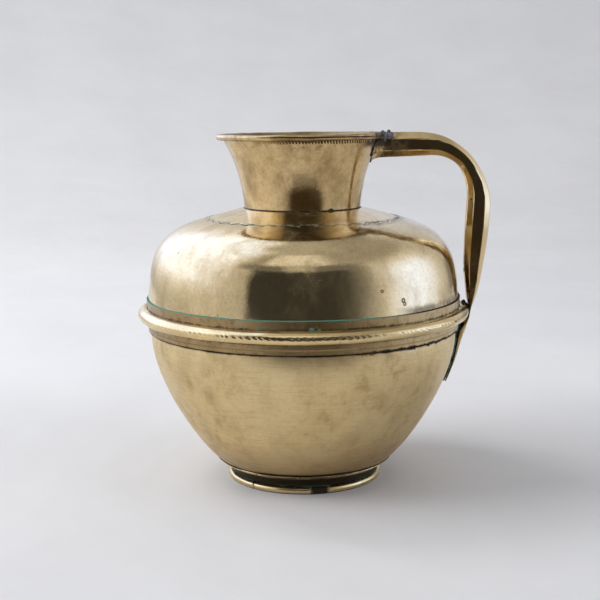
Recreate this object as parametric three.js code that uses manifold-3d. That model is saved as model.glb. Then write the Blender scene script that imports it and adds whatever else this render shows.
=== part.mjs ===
// A footed brass water pot, raised from sheet in four shells that are brazed together: a round bowl, a domed
// shoulder, a collar let into the shoulder with a toothed cramp seam, and a flared neck with a wired rim.
// A moulded band covers the belly joint and a foot ring carries the bowl. A hollow folded handle runs from the
// neck to the band, where it flattens into a tongue that lies down the bowl.
// Millimetres, +Z up. The pot stands on z = 0, and the origin is the centre of its footprint box.
import * as THREE from "three";
import { mergeVertices } from "three/addons/utils/BufferGeometryUtils.js";
import Module from "manifold-3d";

const wasm = await Module();
wasm.setup();

// Driving dimensions, radii from the pot's own axis.
const SHEET = 1.2; // wall of the raised shells
const THIN = 0.9; // strip and foot sheet
const GAP = 0.3; // between one piece and the next
const BELLY_RADIUS = 121; // shoulder, just above the band
const BOWL_RADIUS = 119.2; // bowl, just below the band
const BOWL_SEAT = 67.2; // where the foot ring's flange ends on the bowl
const BAND_LOW = 119.4;
const BAND_HIGH = 143.9;
const BEAD_MID = 132.4; // height of the belly bead's crest
const BEAD_HALF = 4.9; // half its height
const BEAD_RADIUS = 128.9; // its crest
const LAP_LOW = 124; // bottom edge of the shoulder, inside the bowl
const BOWL_TOP = 133.4;
const BOWL_FLOOR = 7.4; // underside of the bowl
const FLANGE_HIGH = 16.3; // height at which the foot ring's flange ends
const TAPER = 0.4; // what the belly gains or loses in radius behind the band
const SEAM_RADIUS = 73.6; // cramp seam between shoulder and collar
const SEAM_HEIGHT = 205;
const SEAM_TEETH = 36;
const TOOTH = 1.5; // half the depth of a tooth
const SEAM_SLOPE = 15; // degrees, falling outwards
const NECK_RADIUS = 45; // neck, at its foot
const NECK_LOW = 212.9;
const RIM_RADIUS = 66.4;
const RIM_TOP = 268.8;
const RIM_CURL = 2.1; // outer radius of the rolled edge
const WIRE_RADIUS = 0.9;
const FOOT_RADIUS = 61;
const FOOT_BEAD = 2.8; // radius of the foot bead's section
const FOOT_FLAT = 2.55; // height of its centre, so that a worn flat stands on the floor
const BUTT_AZIMUTH = -130.6; // degrees round to the butt of its two ends
const BUTT_GAP = 0.5;
const HANDLE_REACH = 145.3; // outermost point of the handle
const ROUND = 48; // facets round the belly
const TOOTHED = 2 * SEAM_TEETH; // facets round the toothed pieces
const SLIM = 40; // facets round the neck and foot
const AXIS_X = (BEAD_RADIUS - HANDLE_REACH) / 2; // the pot's axis in the footprint box

const radians = THREE.MathUtils.degToRad;
const point = (x, y) => new THREE.Vector2(x, y);

// ---------------------------------------------------------------- outlines

function curve(ends, steps) {
  const [a, b, c, d] = ends.map(([x, y]) => point(x, y));
  return new THREE.CubicBezierCurve(a, b, c, d).getPoints(steps);
}

// Points on a circle from one angle to another, in degrees.
function arc(x, y, radius, from, to, steps) {
  return Array.from({ length: steps + 1 }, (_, i) => {
    const angle = radians(from + ((to - from) * i) / steps);
    return point(x + radius * Math.cos(angle), y + radius * Math.sin(angle));
  });
}

// An outline moved sideways by a distance, to the left of its direction when the distance is positive.
function offset(outline, distance) {
  return outline.map((p, i) => {
    const before = outline[Math.max(0, i - 1)];
    const after = outline[Math.min(outline.length - 1, i + 1)];
    const along = after.clone().sub(before).normalize();
    const moved = point(p.x - along.y * distance, p.y + along.x * distance);
    return p.x === 0 ? point(0, moved.y) : moved;
  });
}

// The closed section of a sheet whose outer face is the outline and whose thickness lies to its left. An edge
// can be given the radius at which it is cut off upright.
function sheet(outline, thickness, uprightEdge = null) {
  const inner = offset(outline, thickness);
  for (const i of [0, inner.length - 1]) {
    if (outline[i].x === uprightEdge) inner[i].x = uprightEdge;
  }
  return [...outline, ...inner.reverse()];
}

// ---------------------------------------------------------------- solids

// A closed section turned round the Z axis. The teeth shift alternate columns of the listed section points.
function turned(section, facets, teeth = null) {
  const ordered = THREE.ShapeUtils.area(section) > 0 ? section : [...section].reverse();
  const touchesAxis = ordered.some((p) => p.x === 0);
  let closed = [...ordered, ordered[0]];
  if (touchesAxis) {
    const start = ordered.findIndex((p, i) => p.x === 0 && ordered[(i + 1) % ordered.length].x !== 0);
    closed = [...ordered.slice(start), ...ordered.slice(0, start)];
  }
  const made = new THREE.LatheGeometry(closed, facets);
  if (teeth) {
    const position = made.attributes.position;
    for (let i = 0; i < position.count; i++) {
      const column = Math.floor(i / closed.length);
      const shift = (column % 2 ? 1 : -1) * teeth.depth;
      const radius = Math.hypot(position.getX(i), position.getZ(i));
      if (!teeth.moves(radius)) continue;
      const grow = (radius + shift * Math.cos(radians(SEAM_SLOPE))) / radius;
      const drop = shift * Math.sin(radians(SEAM_SLOPE));
      position.setXYZ(i, position.getX(i) * grow, position.getY(i) - drop, position.getZ(i) * grow);
    }
  }
  return made.rotateX(Math.PI / 2);
}

function solid(geometry) {
  const bare = geometry.index ? geometry.toNonIndexed() : geometry.clone();
  bare.deleteAttribute("normal");
  bare.deleteAttribute("uv");
  const merged = mergeVertices(bare, 1e-3);
  return new wasm.Manifold(
    new wasm.Mesh({
      numProp: 3,
      vertProperties: new Float32Array(merged.attributes.position.array),
      triVerts: new Uint32Array(merged.index.array),
    }),
  );
}

function geometryOf(manifold) {
  const mesh = manifold.getMesh();
  return new THREE.BufferGeometry()
    .setAttribute("position", new THREE.BufferAttribute(mesh.vertProperties, 3))
    .setIndex(new THREE.BufferAttribute(mesh.triVerts, 1));
}

// A closed skin through equal rings of points, with a flat cap at each end.
function loft(rings) {
  const sides = rings[0].length;
  const corners = rings.flat().flatMap((p) => [p.x, p.y, p.z]);
  const faces = [];
  for (let i = 0; i + 1 < rings.length; i++) {
    for (let j = 0; j < sides; j++) {
      const a = i * sides + j;
      const b = i * sides + ((j + 1) % sides);
      faces.push(a, b + sides, b, a, a + sides, b + sides);
    }
  }
  const last = (rings.length - 1) * sides;
  for (let j = 1; j + 1 < sides; j++) {
    faces.push(0, j, j + 1, last, last + j + 1, last + j);
  }
  return new THREE.BufferGeometry()
    .setAttribute("position", new THREE.Float32BufferAttribute(corners, 3))
    .setIndex(faces);
}

// ---------------------------------------------------------------- shells

const bowlLip = point(BOWL_RADIUS + TAPER, BOWL_TOP);
const bowlSide = curve([[BOWL_RADIUS, BAND_LOW], [121.3, 86], [86.3, 30.4], [BOWL_SEAT, FLANGE_HIGH]], 6);
const bowlUnder = curve([[BOWL_SEAT, FLANGE_HIGH], [61, 11.6], [50, BOWL_FLOOR], [36, BOWL_FLOOR]], 3);
const bowlOutline = [bowlLip, ...bowlSide, ...bowlUnder.slice(1), point(0, BOWL_FLOOR)];

function bowl() {
  return turned(sheet(bowlOutline, -SHEET), ROUND);
}

const domeEnds = [[BELLY_RADIUS, BAND_HIGH], [SEAM_RADIUS, SEAM_HEIGHT]];
const shoulderDome = curve([domeEnds[0], [118.3, 170.7], [119.5, 195.6], domeEnds[1]], 6);

const SEAM_FALL = 0.2; // how far the seam's slope falls from its middle to either sheet's edge

// The shoulder's foot is set in by a sheet's thickness, so that it laps inside the bowl.
function shoulder() {
  const lap = BOWL_RADIUS - SHEET - 2 * GAP;
  const step = point(BELLY_RADIUS - TAPER, BOWL_TOP + 4);
  const foot = [point(lap, LAP_LOW), point(lap, BOWL_TOP + 2 * GAP), step];
  const edge = SEAM_RADIUS + 2 * GAP;
  const outline = [...foot, ...shoulderDome.slice(0, -1), point(edge, SEAM_HEIGHT - SEAM_FALL)];
  return turned(sheet(outline, SHEET, edge), TOOTHED, { depth: TOOTH, moves: (radius) => radius < edge + 1 });
}

// The collar turns up inside the neck.
function neckCollar() {
  const upstand = NECK_RADIUS - SHEET - 2 * GAP;
  const edge = SEAM_RADIUS - 2 * GAP;
  const outline = [
    point(edge, SEAM_HEIGHT + SEAM_FALL),
    point(NECK_RADIUS + 2.5, NECK_LOW - 0.9),
    point(upstand + 0.6, NECK_LOW - 0.2),
    point(upstand, NECK_LOW + 1.2),
    point(upstand, NECK_LOW + 8),
  ];
  return turned(sheet(outline, SHEET, edge), TOOTHED, { depth: TOOTH, moves: (radius) => radius > edge - 1 });
}

// Filler metal that runs in and out between the teeth of the cramp seam.
function crampSeamBraze() {
  const half = GAP;
  const fall = half * Math.tan(radians(SEAM_SLOPE));
  const section = [
    point(SEAM_RADIUS - half, SEAM_HEIGHT + fall),
    point(SEAM_RADIUS + half, SEAM_HEIGHT - fall),
    point(SEAM_RADIUS + half, SEAM_HEIGHT - fall - SHEET),
    point(SEAM_RADIUS - half, SEAM_HEIGHT + fall - SHEET),
  ];
  return turned(section, TOOTHED, { depth: TOOTH, moves: () => true });
}

// ---------------------------------------------------------------- neck and rim

const wireAt = point(RIM_RADIUS - RIM_CURL, RIM_TOP - RIM_CURL);
const neckFlare = curve([[NECK_RADIUS, NECK_LOW], [46.2, 232], [51.5, 248], [59.4, 263.4]], 5);
const hem = [point(61.4, 263.5), point(62.9, 264.6)]; // outer face of the sheet's hem

// The sheet flares out, turns over the wire and comes back beneath it, to a hem that lies along the flare.
function neck() {
  const inner = RIM_CURL - THIN;
  const inside = offset(neckFlare, SHEET).reverse();
  inside[inside.length - 1].y += 0.5; // clears the collar's fillet
  const section = [
    ...neckFlare,
    point(61.4, 265.7),
    ...arc(wireAt.x, wireAt.y, inner, 165, -75, 5),
    point(62.3, 265.3),
    point(60.7, 264.2),
    ...hem,
    ...arc(wireAt.x, wireAt.y, RIM_CURL, -80, 60, 4),
    point(wireAt.x + 0.7, RIM_TOP),
    point(wireAt.x - 1.3, RIM_TOP),
    ...inside,
  ];
  return turned(section, SLIM);
}

function rimWire() {
  return turned(arc(wireAt.x, wireAt.y, WIRE_RADIUS, 0, 300, 5), SLIM);
}

const FILLET = 1.5; // leg of the fillet round the neck's foot

// A fillet of filler metal where the neck stands on the collar.
function neckJointBraze() {
  const edge = NECK_RADIUS + GAP;
  const seat = NECK_LOW - 0.1;
  const foot = point(edge + FILLET, seat - GAP);
  const section = [point(edge, seat), foot, point(edge + 0.1, seat + FILLET - 0.2)];
  return turned(section, SLIM);
}

// ---------------------------------------------------------------- band

const bandOutline = [point(BELLY_RADIUS, BAND_LOW), point(BELLY_RADIUS + GAP + THIN, BAND_HIGH)];

function bellyStrip() {
  return turned(sheet(bandOutline, THIN), ROUND);
}

const beadSeat = bandOutline[1].x + GAP;

// A half-round moulding, hollow behind.
function beadOutline(inset, steps) {
  const reach = BEAD_RADIUS - beadSeat - inset;
  const rise = BEAD_HALF - inset;
  return arc(0, 0, 1, -90, 90, steps).map((p) => point(beadSeat + reach * p.x, BEAD_MID + rise * p.y));
}

function bellyBead() {
  return turned([...beadOutline(0, 6), ...beadOutline(SHEET, 4).reverse()], ROUND);
}

// ---------------------------------------------------------------- foot

const footBeadTop = FOOT_FLAT + FOOT_BEAD;
const flangeEnd = [BOWL_SEAT + 0.7, FLANGE_HIGH - 0.8];
const footOutline = curve([flangeEnd, [62.6, 11.5], [58.3, 10.6], [58, footBeadTop + GAP]], 5);

function footRing() {
  return turned(sheet(footOutline, -THIN), SLIM);
}

// A wire ring with its two ends butted together at the front left, and a flat worn on its underside.
function footBead() {
  const centre = FOOT_RADIUS - FOOT_BEAD;
  const half = Math.acos(FOOT_FLAT / FOOT_BEAD) * THREE.MathUtils.RAD2DEG;
  const ring = solid(turned(arc(centre, FOOT_FLAT, FOOT_BEAD, -90 + half, 270 - half, 8), SLIM));
  const reach = 4 * FOOT_BEAD;
  const butt = new THREE.BoxGeometry(reach, BUTT_GAP, reach).translate(centre, 0, 0);
  const cut = butt.rotateZ(radians(BUTT_AZIMUTH));
  return geometryOf(ring.subtract(solid(cut)));
}

// ---------------------------------------------------------------- handle

// Stations down the handle: x and z of its outer face, x and z of its inner face, half its width, and how many
// times wider it is towards the outer face, where the palm spreads under the rim.
const stations = [
  [48, 269.8, 43, 242.6, 22, 1.42],
  [55, 269.8, 51.6, 247.7, 16, 1.5],
  [60.5, 269.8, 58.4, 250.2, 10.8, 1.42],
  [67, 269.8, 65.6, 250.7, 8.8, 1.06],
  [91, 269.7, 90, 251.5, 8.5],
  [104, 267.9, 101.5, 251.9, 8.5],
  [114, 264.1, 108.5, 250.8, 8.5],
  [124, 257.3, 115.4, 247.9, 8.5],
  [132.4, 248.9, 121.2, 242.9, 8.5],
  [139, 237.9, 125.3, 235, 8.5],
  [143.5, 226.2, 127.4, 225.4, 8.5],
  [HANDLE_REACH, 215, 127.3, 215, 8.5],
  [144.6, 199, 126.5, 199.3, 8.4],
  [142.7, 181.7, 126, 181.9, 8.2],
  [140.3, 166, 125.8, 166.8, 8.1],
  [137.9, 151.6, 126.9, 153, 8],
  [134.6, 140.1, 128.3, 141.6, 7.8],
  [131.2, 131.8, 129.5, 132.4, 7.6],
  [129.8, 123.9, 127.6, 124.6, 7.2],
  [127.8, 116.3, 122.4, 117.6, 6.8],
  [125.2, 108.9, 120.7, 110, 6.2],
  [120.8, 94.2, 118.7, 94.8, 4.8],
  [116.2, 81.3, 115.1, 81.8, 3.2],
  [112.9, 73.2, 112, 73.6, 1.4],
];
const LAST = stations.length - 1;
const HOLLOW_ENDS = 15; // station where the tube's two walls meet
const TONGUE_FROM = 18; // station where the tongue comes off the band
const outerFace = new THREE.CatmullRomCurve3(stations.map(([x, z]) => new THREE.Vector3(x, 0, z)));
const innerFace = new THREE.CatmullRomCurve3(stations.map(([, , x, z]) => new THREE.Vector3(x, 0, z)));
const widths = stations.map(([, , , , half, splay], i) => new THREE.Vector3(i, half, splay ?? 1));
const halfWidth = new THREE.CatmullRomCurve3(widths);

// Rings across the handle between two stations. The section gives each corner as [towards the outer face, y].
function handleRings(from, to, section) {
  const count = Math.round((to - from) * 2);
  return Array.from({ length: count + 1 }, (_, i) => {
    const t = (from + ((to - from) * i) / count) / LAST;
    const outer = outerFace.getPoint(t);
    const inner = innerFace.getPoint(t);
    const centre = outer.clone().add(inner).multiplyScalar(0.5);
    const out = outer.clone().sub(inner).normalize();
    const { y: half, z: splay } = halfWidth.getPoint(t);
    const corners = section(outer.distanceTo(inner), half, splay);
    return corners.map(([u, v]) => centre.clone().addScaledVector(out, u).setY(v));
  });
}

// An eight-sided section with flat faces front and back, broad bevels and narrow inner and outer faces.
function octagon(depth, half, splay) {
  const flat = half * 0.42;
  const bevel = depth * 0.26;
  return [
    [depth / 2, -flat * splay],
    [depth / 2, flat * splay],
    [depth / 2 - bevel, half * splay],
    [-depth / 2 + bevel, half],
    [-depth / 2, flat],
    [-depth / 2, -flat],
    [-depth / 2 + bevel, -half],
    [depth / 2 - bevel, -half * splay],
  ];
}

const STRIP_HALF = 2.6;
const STRIP_FROM = 3.4; // stations between which the strip runs
const STRIP_TO = 14.2;

// The folded sheet's edges stop short of each other on the inner face. A strip let in flush closes the fold.
function strip(depth, clearance) {
  const back = -depth / 2 - clearance;
  const front = -depth / 2 + SHEET + clearance;
  const half = STRIP_HALF + clearance;
  return [[front, -half], [front, half], [back, half], [back, -half]];
}

// Everything inside the pot's outer faces, grown by a clearance. The space above the rim counts as inside when
// it is to be kept clear as well.
function potBody(clearance, aboveRim = true) {
  const lower = offset([...bowlOutline].reverse().slice(1, -1), -clearance);
  const band = offset([bandOutline[0], ...beadOutline(0, 10), bandOutline[1]], -clearance);
  const dome = offset(shoulderDome.slice(1), -clearance);
  const upper = offset([...neckFlare.slice(0, -1), point(59.3, 263.2), ...hem], -clearance);
  const rim = arc(wireAt.x, wireAt.y, RIM_CURL + clearance, -110, aboveRim ? 0 : 90, 4);
  const top = aboveRim ? RIM_TOP + 10 : rim[4].y;
  const lid = [point(rim[4].x, top), point(0, top)];
  return solid(turned([point(0, lower[0].y), ...lower, ...band, ...dome, ...upper, ...rim, ...lid], TOOTHED));
}

const BED = 0.6; // thickness of the filler under the palm
const PALM_TOP = 262.6; // height to which the filler runs
const PALM_END = 4; // station past which the handle is clear of the neck

function handle() {
  const outside = solid(loft(handleRings(0, LAST, octagon)));
  const inset = (depth, half, splay) => octagon(depth - 2 * SHEET, half - SHEET, splay);
  const hollow = solid(loft(handleRings(0, HOLLOW_ENDS, inset)));
  const slot = solid(loft(handleRings(STRIP_FROM - 0.05, STRIP_TO + 0.05, (depth) => strip(depth, GAP))));
  const besideNeck = solid(new THREE.BoxGeometry(50, 90, 60).translate(58, 0, RIM_TOP - 4));
  const neckSpace = potBody(2 * GAP + BED).intersect(besideNeck);
  return outside.subtract(hollow).subtract(slot).subtract(neckSpace).subtract(potBody(GAP));
}

function handleInnerStrip() {
  return loft(handleRings(STRIP_FROM, STRIP_TO, (depth) => strip(depth, 0)));
}

const PALM_SPREAD = 0.8; // how far the filler runs past the palm's edges

// A thin bed of filler metal between the neck and the palm.
function palmPatch(clearance) {
  const spread = PALM_SPREAD + clearance;
  const wide = (depth, half, splay) => octagon(depth + 2 * spread, half + spread, splay);
  const room = new THREE.BoxGeometry(60, 100, 40);
  const belowRim = solid(room.translate(60, 0, PALM_TOP + clearance - 20));
  const grown = solid(loft(handleRings(0, PALM_END, wide)));
  return grown.intersect(potBody(GAP + BED + clearance)).intersect(belowRim);
}

function palmBraze() {
  return palmPatch(0).subtract(potBody(GAP));
}

// Filler metal that beds the tongue on the bowl, filling whatever is left between them.
function tongueBraze() {
  const under = (depth, half) => {
    const front = -depth / 2 - GAP;
    return [[front, -half], [front, half], [front - 8, half - 0.6], [front - 8, 0.6 - half]];
  };
  return solid(loft(handleRings(TONGUE_FROM, LAST, under))).subtract(potBody(GAP));
}

// ---------------------------------------------------------------- solder lumps

// The handle grown by a clearance, for cutting the lumps that touch it.
function handleSpace() {
  const grown = (depth, half, splay) => octagon(depth + 2 * GAP + 0.2, half + GAP + 0.1, splay);
  return solid(loft(handleRings(0, LAST, grown)));
}

// Lumps of soft solder run together in the corner between the rim and the handle: [x, y, z, radius] of each.
function rimSolder() {
  const places = [
    [62.2, -12.2, 268.4, 3.4],
    [65.4, -10.2, 266.8, 3.8],
    [68.6, -9, 268.2, 2.7],
  ];
  const ball = ([x, y, z, radius]) => solid(new THREE.SphereGeometry(radius, 8, 6).translate(x, y, z));
  const run = places.map(ball).reduce((all, next) => all.add(next));
  return run.subtract(handleSpace()).subtract(palmPatch(GAP)).subtract(potBody(GAP, false));
}

const WEB = { deep: 7, wide: 11, high: 5.6, middle: BEAD_MID + 2.4 };

// A web of filler metal in the corner between the top of the bead and the handle.
function bandSolder() {
  const web = new THREE.BoxGeometry(WEB.deep, WEB.wide, WEB.high).translate(BEAD_RADIUS - 2.9, 0, WEB.middle);
  return solid(web).subtract(handleSpace()).subtract(potBody(GAP));
}

// ---------------------------------------------------------------- assembly

const brass = new THREE.MeshStandardMaterial({ color: 0xb09a66, roughness: 0.28, metalness: 1 });
const brushedBrass = new THREE.MeshStandardMaterial({ color: 0xa8905c, roughness: 0.4, metalness: 1 });
const paleBrass = new THREE.MeshStandardMaterial({ color: 0xc2a768, roughness: 0.25, metalness: 1 });
const filler = new THREE.MeshStandardMaterial({ color: 0x2c332b, roughness: 0.7, metalness: 0.5 });
const softSolder = new THREE.MeshStandardMaterial({ color: 0x5d616b, roughness: 0.55, metalness: 0.9 });

const pot = new THREE.Group();
pot.position.x = AXIS_X;

function place(name, made, material) {
  const geometry = made.isBufferGeometry ? made : geometryOf(made);
  const mesh = new THREE.Mesh(geometry, material);
  mesh.name = name;
  pot.add(mesh);
}

place("bowl", bowl(), brushedBrass);
place("foot_ring", footRing(), brushedBrass);
place("foot_bead", footBead(), paleBrass);
place("shoulder", shoulder(), brass);
place("belly_strip", bellyStrip(), brass);
place("belly_bead", bellyBead(), paleBrass);
place("neck_collar", neckCollar(), brass);
place("cramp_seam_braze", crampSeamBraze(), filler);
place("neck", neck(), brass);
place("neck_joint_braze", neckJointBraze(), filler);
place("rim_wire", rimWire(), paleBrass);
place("handle", handle(), brass);
place("handle_inner_strip", handleInnerStrip(), brass);
place("palm_braze", palmBraze(), filler);
place("tongue_braze", tongueBraze(), filler);
place("rim_solder", rimSolder(), softSolder);
place("band_solder", bandSolder(), filler);

const group = new THREE.Group();
group.add(pot);
export default group;
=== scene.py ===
"""Looks for a footed brass water pot: raised shells, a toothed seam, a moulded band and a folded handle.

Every mesh is made here in millimetres round the pot's own axis, at sizes read from the CAD nodes it stands
for, and is moved into the CAD frame, in metres, as it is built.
"""
import math
from functools import partial, reduce

import bmesh
import bpy
import numpy as np
from mathutils import Matrix, Vector


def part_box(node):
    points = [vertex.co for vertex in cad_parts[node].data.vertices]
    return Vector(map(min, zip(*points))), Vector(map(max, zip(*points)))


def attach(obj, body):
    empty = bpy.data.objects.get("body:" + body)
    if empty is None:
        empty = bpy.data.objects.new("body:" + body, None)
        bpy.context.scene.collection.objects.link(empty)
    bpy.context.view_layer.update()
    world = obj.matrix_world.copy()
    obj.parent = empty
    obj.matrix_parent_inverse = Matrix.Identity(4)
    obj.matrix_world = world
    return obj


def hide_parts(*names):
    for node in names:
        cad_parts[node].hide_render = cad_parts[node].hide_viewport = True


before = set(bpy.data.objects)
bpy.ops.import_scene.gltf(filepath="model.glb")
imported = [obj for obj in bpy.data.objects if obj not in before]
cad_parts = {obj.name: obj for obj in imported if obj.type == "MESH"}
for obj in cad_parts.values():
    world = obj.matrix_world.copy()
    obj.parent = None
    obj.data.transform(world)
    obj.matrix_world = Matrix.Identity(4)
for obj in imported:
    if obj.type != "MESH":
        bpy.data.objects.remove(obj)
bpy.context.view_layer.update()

MM = 0.001
TURN = 2 * math.pi


# -------- sizes from the CAD nodes

def corners(node):
    return [np.array(corner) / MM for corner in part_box(node)]


def radius_of(node):
    low, high = corners(node)
    return (high[0] - low[0]) / 2


def heights(node):
    low, high = corners(node)
    return low[2], high[2]


shoulder_low, shoulder_high = corners("shoulder")
AXIS_X = (shoulder_low[0] + shoulder_high[0]) / 2
SHEET = 1.2
THIN_SHEET = 0.9  # the strip and the foot
GAP = 0.3  # between one piece and the next
TAPER = 0.4  # what the belly gains or loses in radius behind the band
BELLY = radius_of("shoulder")
BAND_LOW, BAND_HIGH = heights("belly_strip")
BEAD_LOW, BEAD_HIGH = heights("belly_bead")
BEAD_MID, BEAD_HALF = (BEAD_LOW + BEAD_HIGH) / 2, (BEAD_HIGH - BEAD_LOW) / 2
BEAD_RADIUS = radius_of("belly_bead")
BAND_RADIUS = radius_of("belly_strip")
LAP_LOW = heights("shoulder")[0]
BOWL_LOW, BOWL_TOP = heights("bowl")
BOWL_SWELL = 0.7  # how far the bowl swells out below the band
BOWL_RADIUS = radius_of("bowl") - BOWL_SWELL
NECK_LOW, RIM_TOP = heights("neck")
RIM_RADIUS = radius_of("neck")
RIM_CURL = 2.1  # outer radius of the rolled edge
CURL_SHEET = 0.7
WIRE_RADIUS = 0.9
FOOT_RADIUS = radius_of("foot_bead")
FOOT_TOP = heights("foot_bead")[1]
FOOT_BEAD = 2.8  # radius of the foot bead's section
HANDLE_REACH = corners("handle")[1][0] - AXIS_X
SEAM_RADIUS = 73.6  # toothed seam between shoulder and collar
SEAM_HEIGHT = 205
SEAM_TEETH = 36
TOOTH = 1.9  # half the depth of a tooth
SEAM_SLOPE = math.radians(13.5)
NECK_RADIUS = 45


# -------- outlines, as rows of [radius, height]

EDGE_BULGE = 0.6  # how far a sheet's edge is rounded, in parts of half its thickness


def bezier(a, b, c, d, steps):
    a, b, c, d = (np.array(p, float) for p in (a, b, c, d))
    t = np.linspace(0, 1, steps + 1)[:, None]
    return (1 - t) ** 3 * a + 3 * (1 - t) ** 2 * t * b + 3 * (1 - t) * t**2 * c + t**3 * d


def line(a, b, steps):
    return np.linspace(a, b, steps + 1)


def arc(x, y, radius, start, end, steps):
    angle = np.radians(np.linspace(start, end, steps + 1))
    return np.stack([x + radius * np.cos(angle), y + radius * np.sin(angle)], 1)


def joined(*parts):
    """Outlines end to end, without the points that two of them share."""
    points = [parts[0]]
    for part in parts[1:]:
        shared = np.linalg.norm(part[0] - points[-1][-1]) < 1e-6
        points.append(part[1:] if shared else part)
    return np.concatenate(points)


def left_of(outline):
    along = np.gradient(outline, axis=0)
    along /= np.linalg.norm(along, axis=1)[:, None]
    return np.stack([-along[:, 1], along[:, 0]], 1)


def moved(outline, distance):
    shifted = outline + left_of(outline) * distance
    shifted[outline[:, 0] == 0, 0] = 0
    return shifted


def sheet(outline, thickness, ends=(True, True)):
    """The closed section of a sheet that lies left of its outer face, with softened edges."""
    inner = moved(outline, thickness)

    def edge(a, b, outward):
        middle, half = (a + b) / 2, (a - b) / 2
        reach = outward / np.linalg.norm(outward) * np.linalg.norm(half) * EDGE_BULGE
        return np.array([middle + half * math.cos(t) + reach * math.sin(t) for t in (0.7, 1.57, 2.44)])

    parts = [outline]
    if ends[1]:
        parts.append(edge(outline[-1], inner[-1], outline[-1] - outline[-2]))
    parts.append(inner[::-1])
    if ends[0]:
        parts.append(edge(inner[0], outline[0], outline[0] - outline[1]))
    return np.concatenate(parts)


# -------- surface undulation

class Waves:
    """A smooth random field: a sum of plane waves with lengths between two sizes in millimetres."""

    def __init__(self, seed, shortest, longest, count):
        rng = np.random.default_rng(seed)
        ways = rng.normal(size=(count, 3))
        ways /= np.linalg.norm(ways, axis=1)[:, None]
        lengths = np.exp(rng.uniform(math.log(shortest), math.log(longest), count))
        self.waves = TURN * ways / lengths[:, None]
        self.phases = rng.uniform(0, TURN, count)
        self.weights = lengths / math.sqrt((lengths**2).sum() / 2)

    def __call__(self, points):
        total = np.zeros(points.shape[:-1])
        for wave, phase, weight in zip(self.waves, self.phases, self.weights):
            total += weight * np.sin(points @ wave + phase)
        return total


hammering = Waves(11, 11, 40, 22)
sag = Waves(12, 70, 190, 10)
roughness_of_filler = Waves(13, 1.6, 7, 30)
wander = Waves(14, 9, 30, 12)


def step(low, high, value):
    t = np.clip((value - low) / (high - low), 0, 1)
    return t * t * (3 - 2 * t)


# -------- meshes

def round_axis(radius, angle, height):
    return np.stack([radius * np.cos(angle), radius * np.sin(angle), height], -1)


def in_scene(name, data):
    made = bpy.data.objects.new(name, data)
    bpy.context.scene.collection.objects.link(made)
    return made


def make_piece(name, vertices, faces, crease=38):
    """A mesh from millimetre points round the pot's axis, turned the right way out."""
    vertices = (np.asarray(vertices) + [AXIS_X, 0, 0]) * MM
    mesh = bpy.data.meshes.new(name)
    mesh.from_pydata(vertices.tolist(), [], faces)
    mesh.validate()
    work = bmesh.new()
    work.from_mesh(mesh)
    if work.calc_volume(signed=True) < 0:
        bmesh.ops.reverse_faces(work, faces=work.faces)
        work.to_mesh(mesh)
    work.free()
    mesh.shade_smooth()
    mesh.set_sharp_from_angle(angle=math.radians(crease))
    return in_scene(name, mesh)


def skin(points, ring_rows=False, caps=()):
    """Vertices and faces of a grid of points whose rows are rings. A row on the axis becomes one point.
    Caps close end rows, or ring_rows joins the last row to the first."""
    rows, columns = points.shape[:2]
    vertices, index = [], np.zeros((rows, columns), int)
    for i in range(rows):
        if np.abs(points[i, :, :2]).max() < 1e-9:
            index[i] = len(vertices)
            vertices.append(points[i, 0])
        else:
            index[i] = np.arange(len(vertices), len(vertices) + columns)
            vertices.extend(points[i])
    faces = []
    for i in range(rows if ring_rows else rows - 1):
        a, b = index[i], index[(i + 1) % rows]
        after_a, after_b = np.roll(a, -1), np.roll(b, -1)
        for j in range(columns):
            face = [int(a[j]), int(after_a[j]), int(after_b[j]), int(b[j])]
            face = [v for k, v in enumerate(face) if v != face[k - 1]]
            if len(face) > 2:
                faces.append(face)
    for i in caps:
        ring = [int(v) for v in index[i]]
        centre = len(vertices)
        vertices.append(points[i].mean(axis=0))
        for a, b in zip(ring, ring[1:] + ring[:1]):
            faces.append([centre, a, b] if i else [centre, b, a])
    return np.array(vertices), faces


def lathe(name, section, columns, shape=None):
    """Turns a section round the axis. The shape function gives its points their final radius and height."""
    angle = np.repeat(np.arange(columns)[None] * TURN / columns, len(section), 0)
    radius = np.repeat(section[:, :1], columns, 1)
    height = np.repeat(section[:, 1:], columns, 1)
    if shape:
        radius, height = shape(radius, height, angle, round_axis(radius, angle, height))
        radius[section[:, 0] == 0] = 0
    return make_piece(name, *skin(round_axis(radius, angle, height), ring_rows=True))


def hammered(section, outer, amount, slump):
    """A shape function that beats a sheet up and down by a fraction of a millimetre. The first rows of its
    section are the outer face, which the inner face moves with."""
    outward = left_of(section)
    outward[:outer] *= -1

    def shape(radius, height, _, points):
        depth = amount * hammering(points) + slump * sag(points)
        return radius + depth * outward[:, :1], height + depth * outward[:, 1:]

    return shape


def angle_from(azimuth, angle):
    """How far angles are from an azimuth: degrees from the front, positive towards the handle."""
    at = math.radians(azimuth - 90)
    return np.mod(angle - at + math.pi, TURN) - math.pi


def dents(radius, height, angle, places):
    """How deep the listed dents are: [azimuth, height, size, depth] of each."""
    depth = np.zeros_like(radius)
    for azimuth, level, size, deep in places:
        across = angle_from(azimuth, angle) * radius
        depth += deep * np.exp(-(across**2 + (height - level) ** 2) / size**2)
    return depth


# -------- bowl

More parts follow.
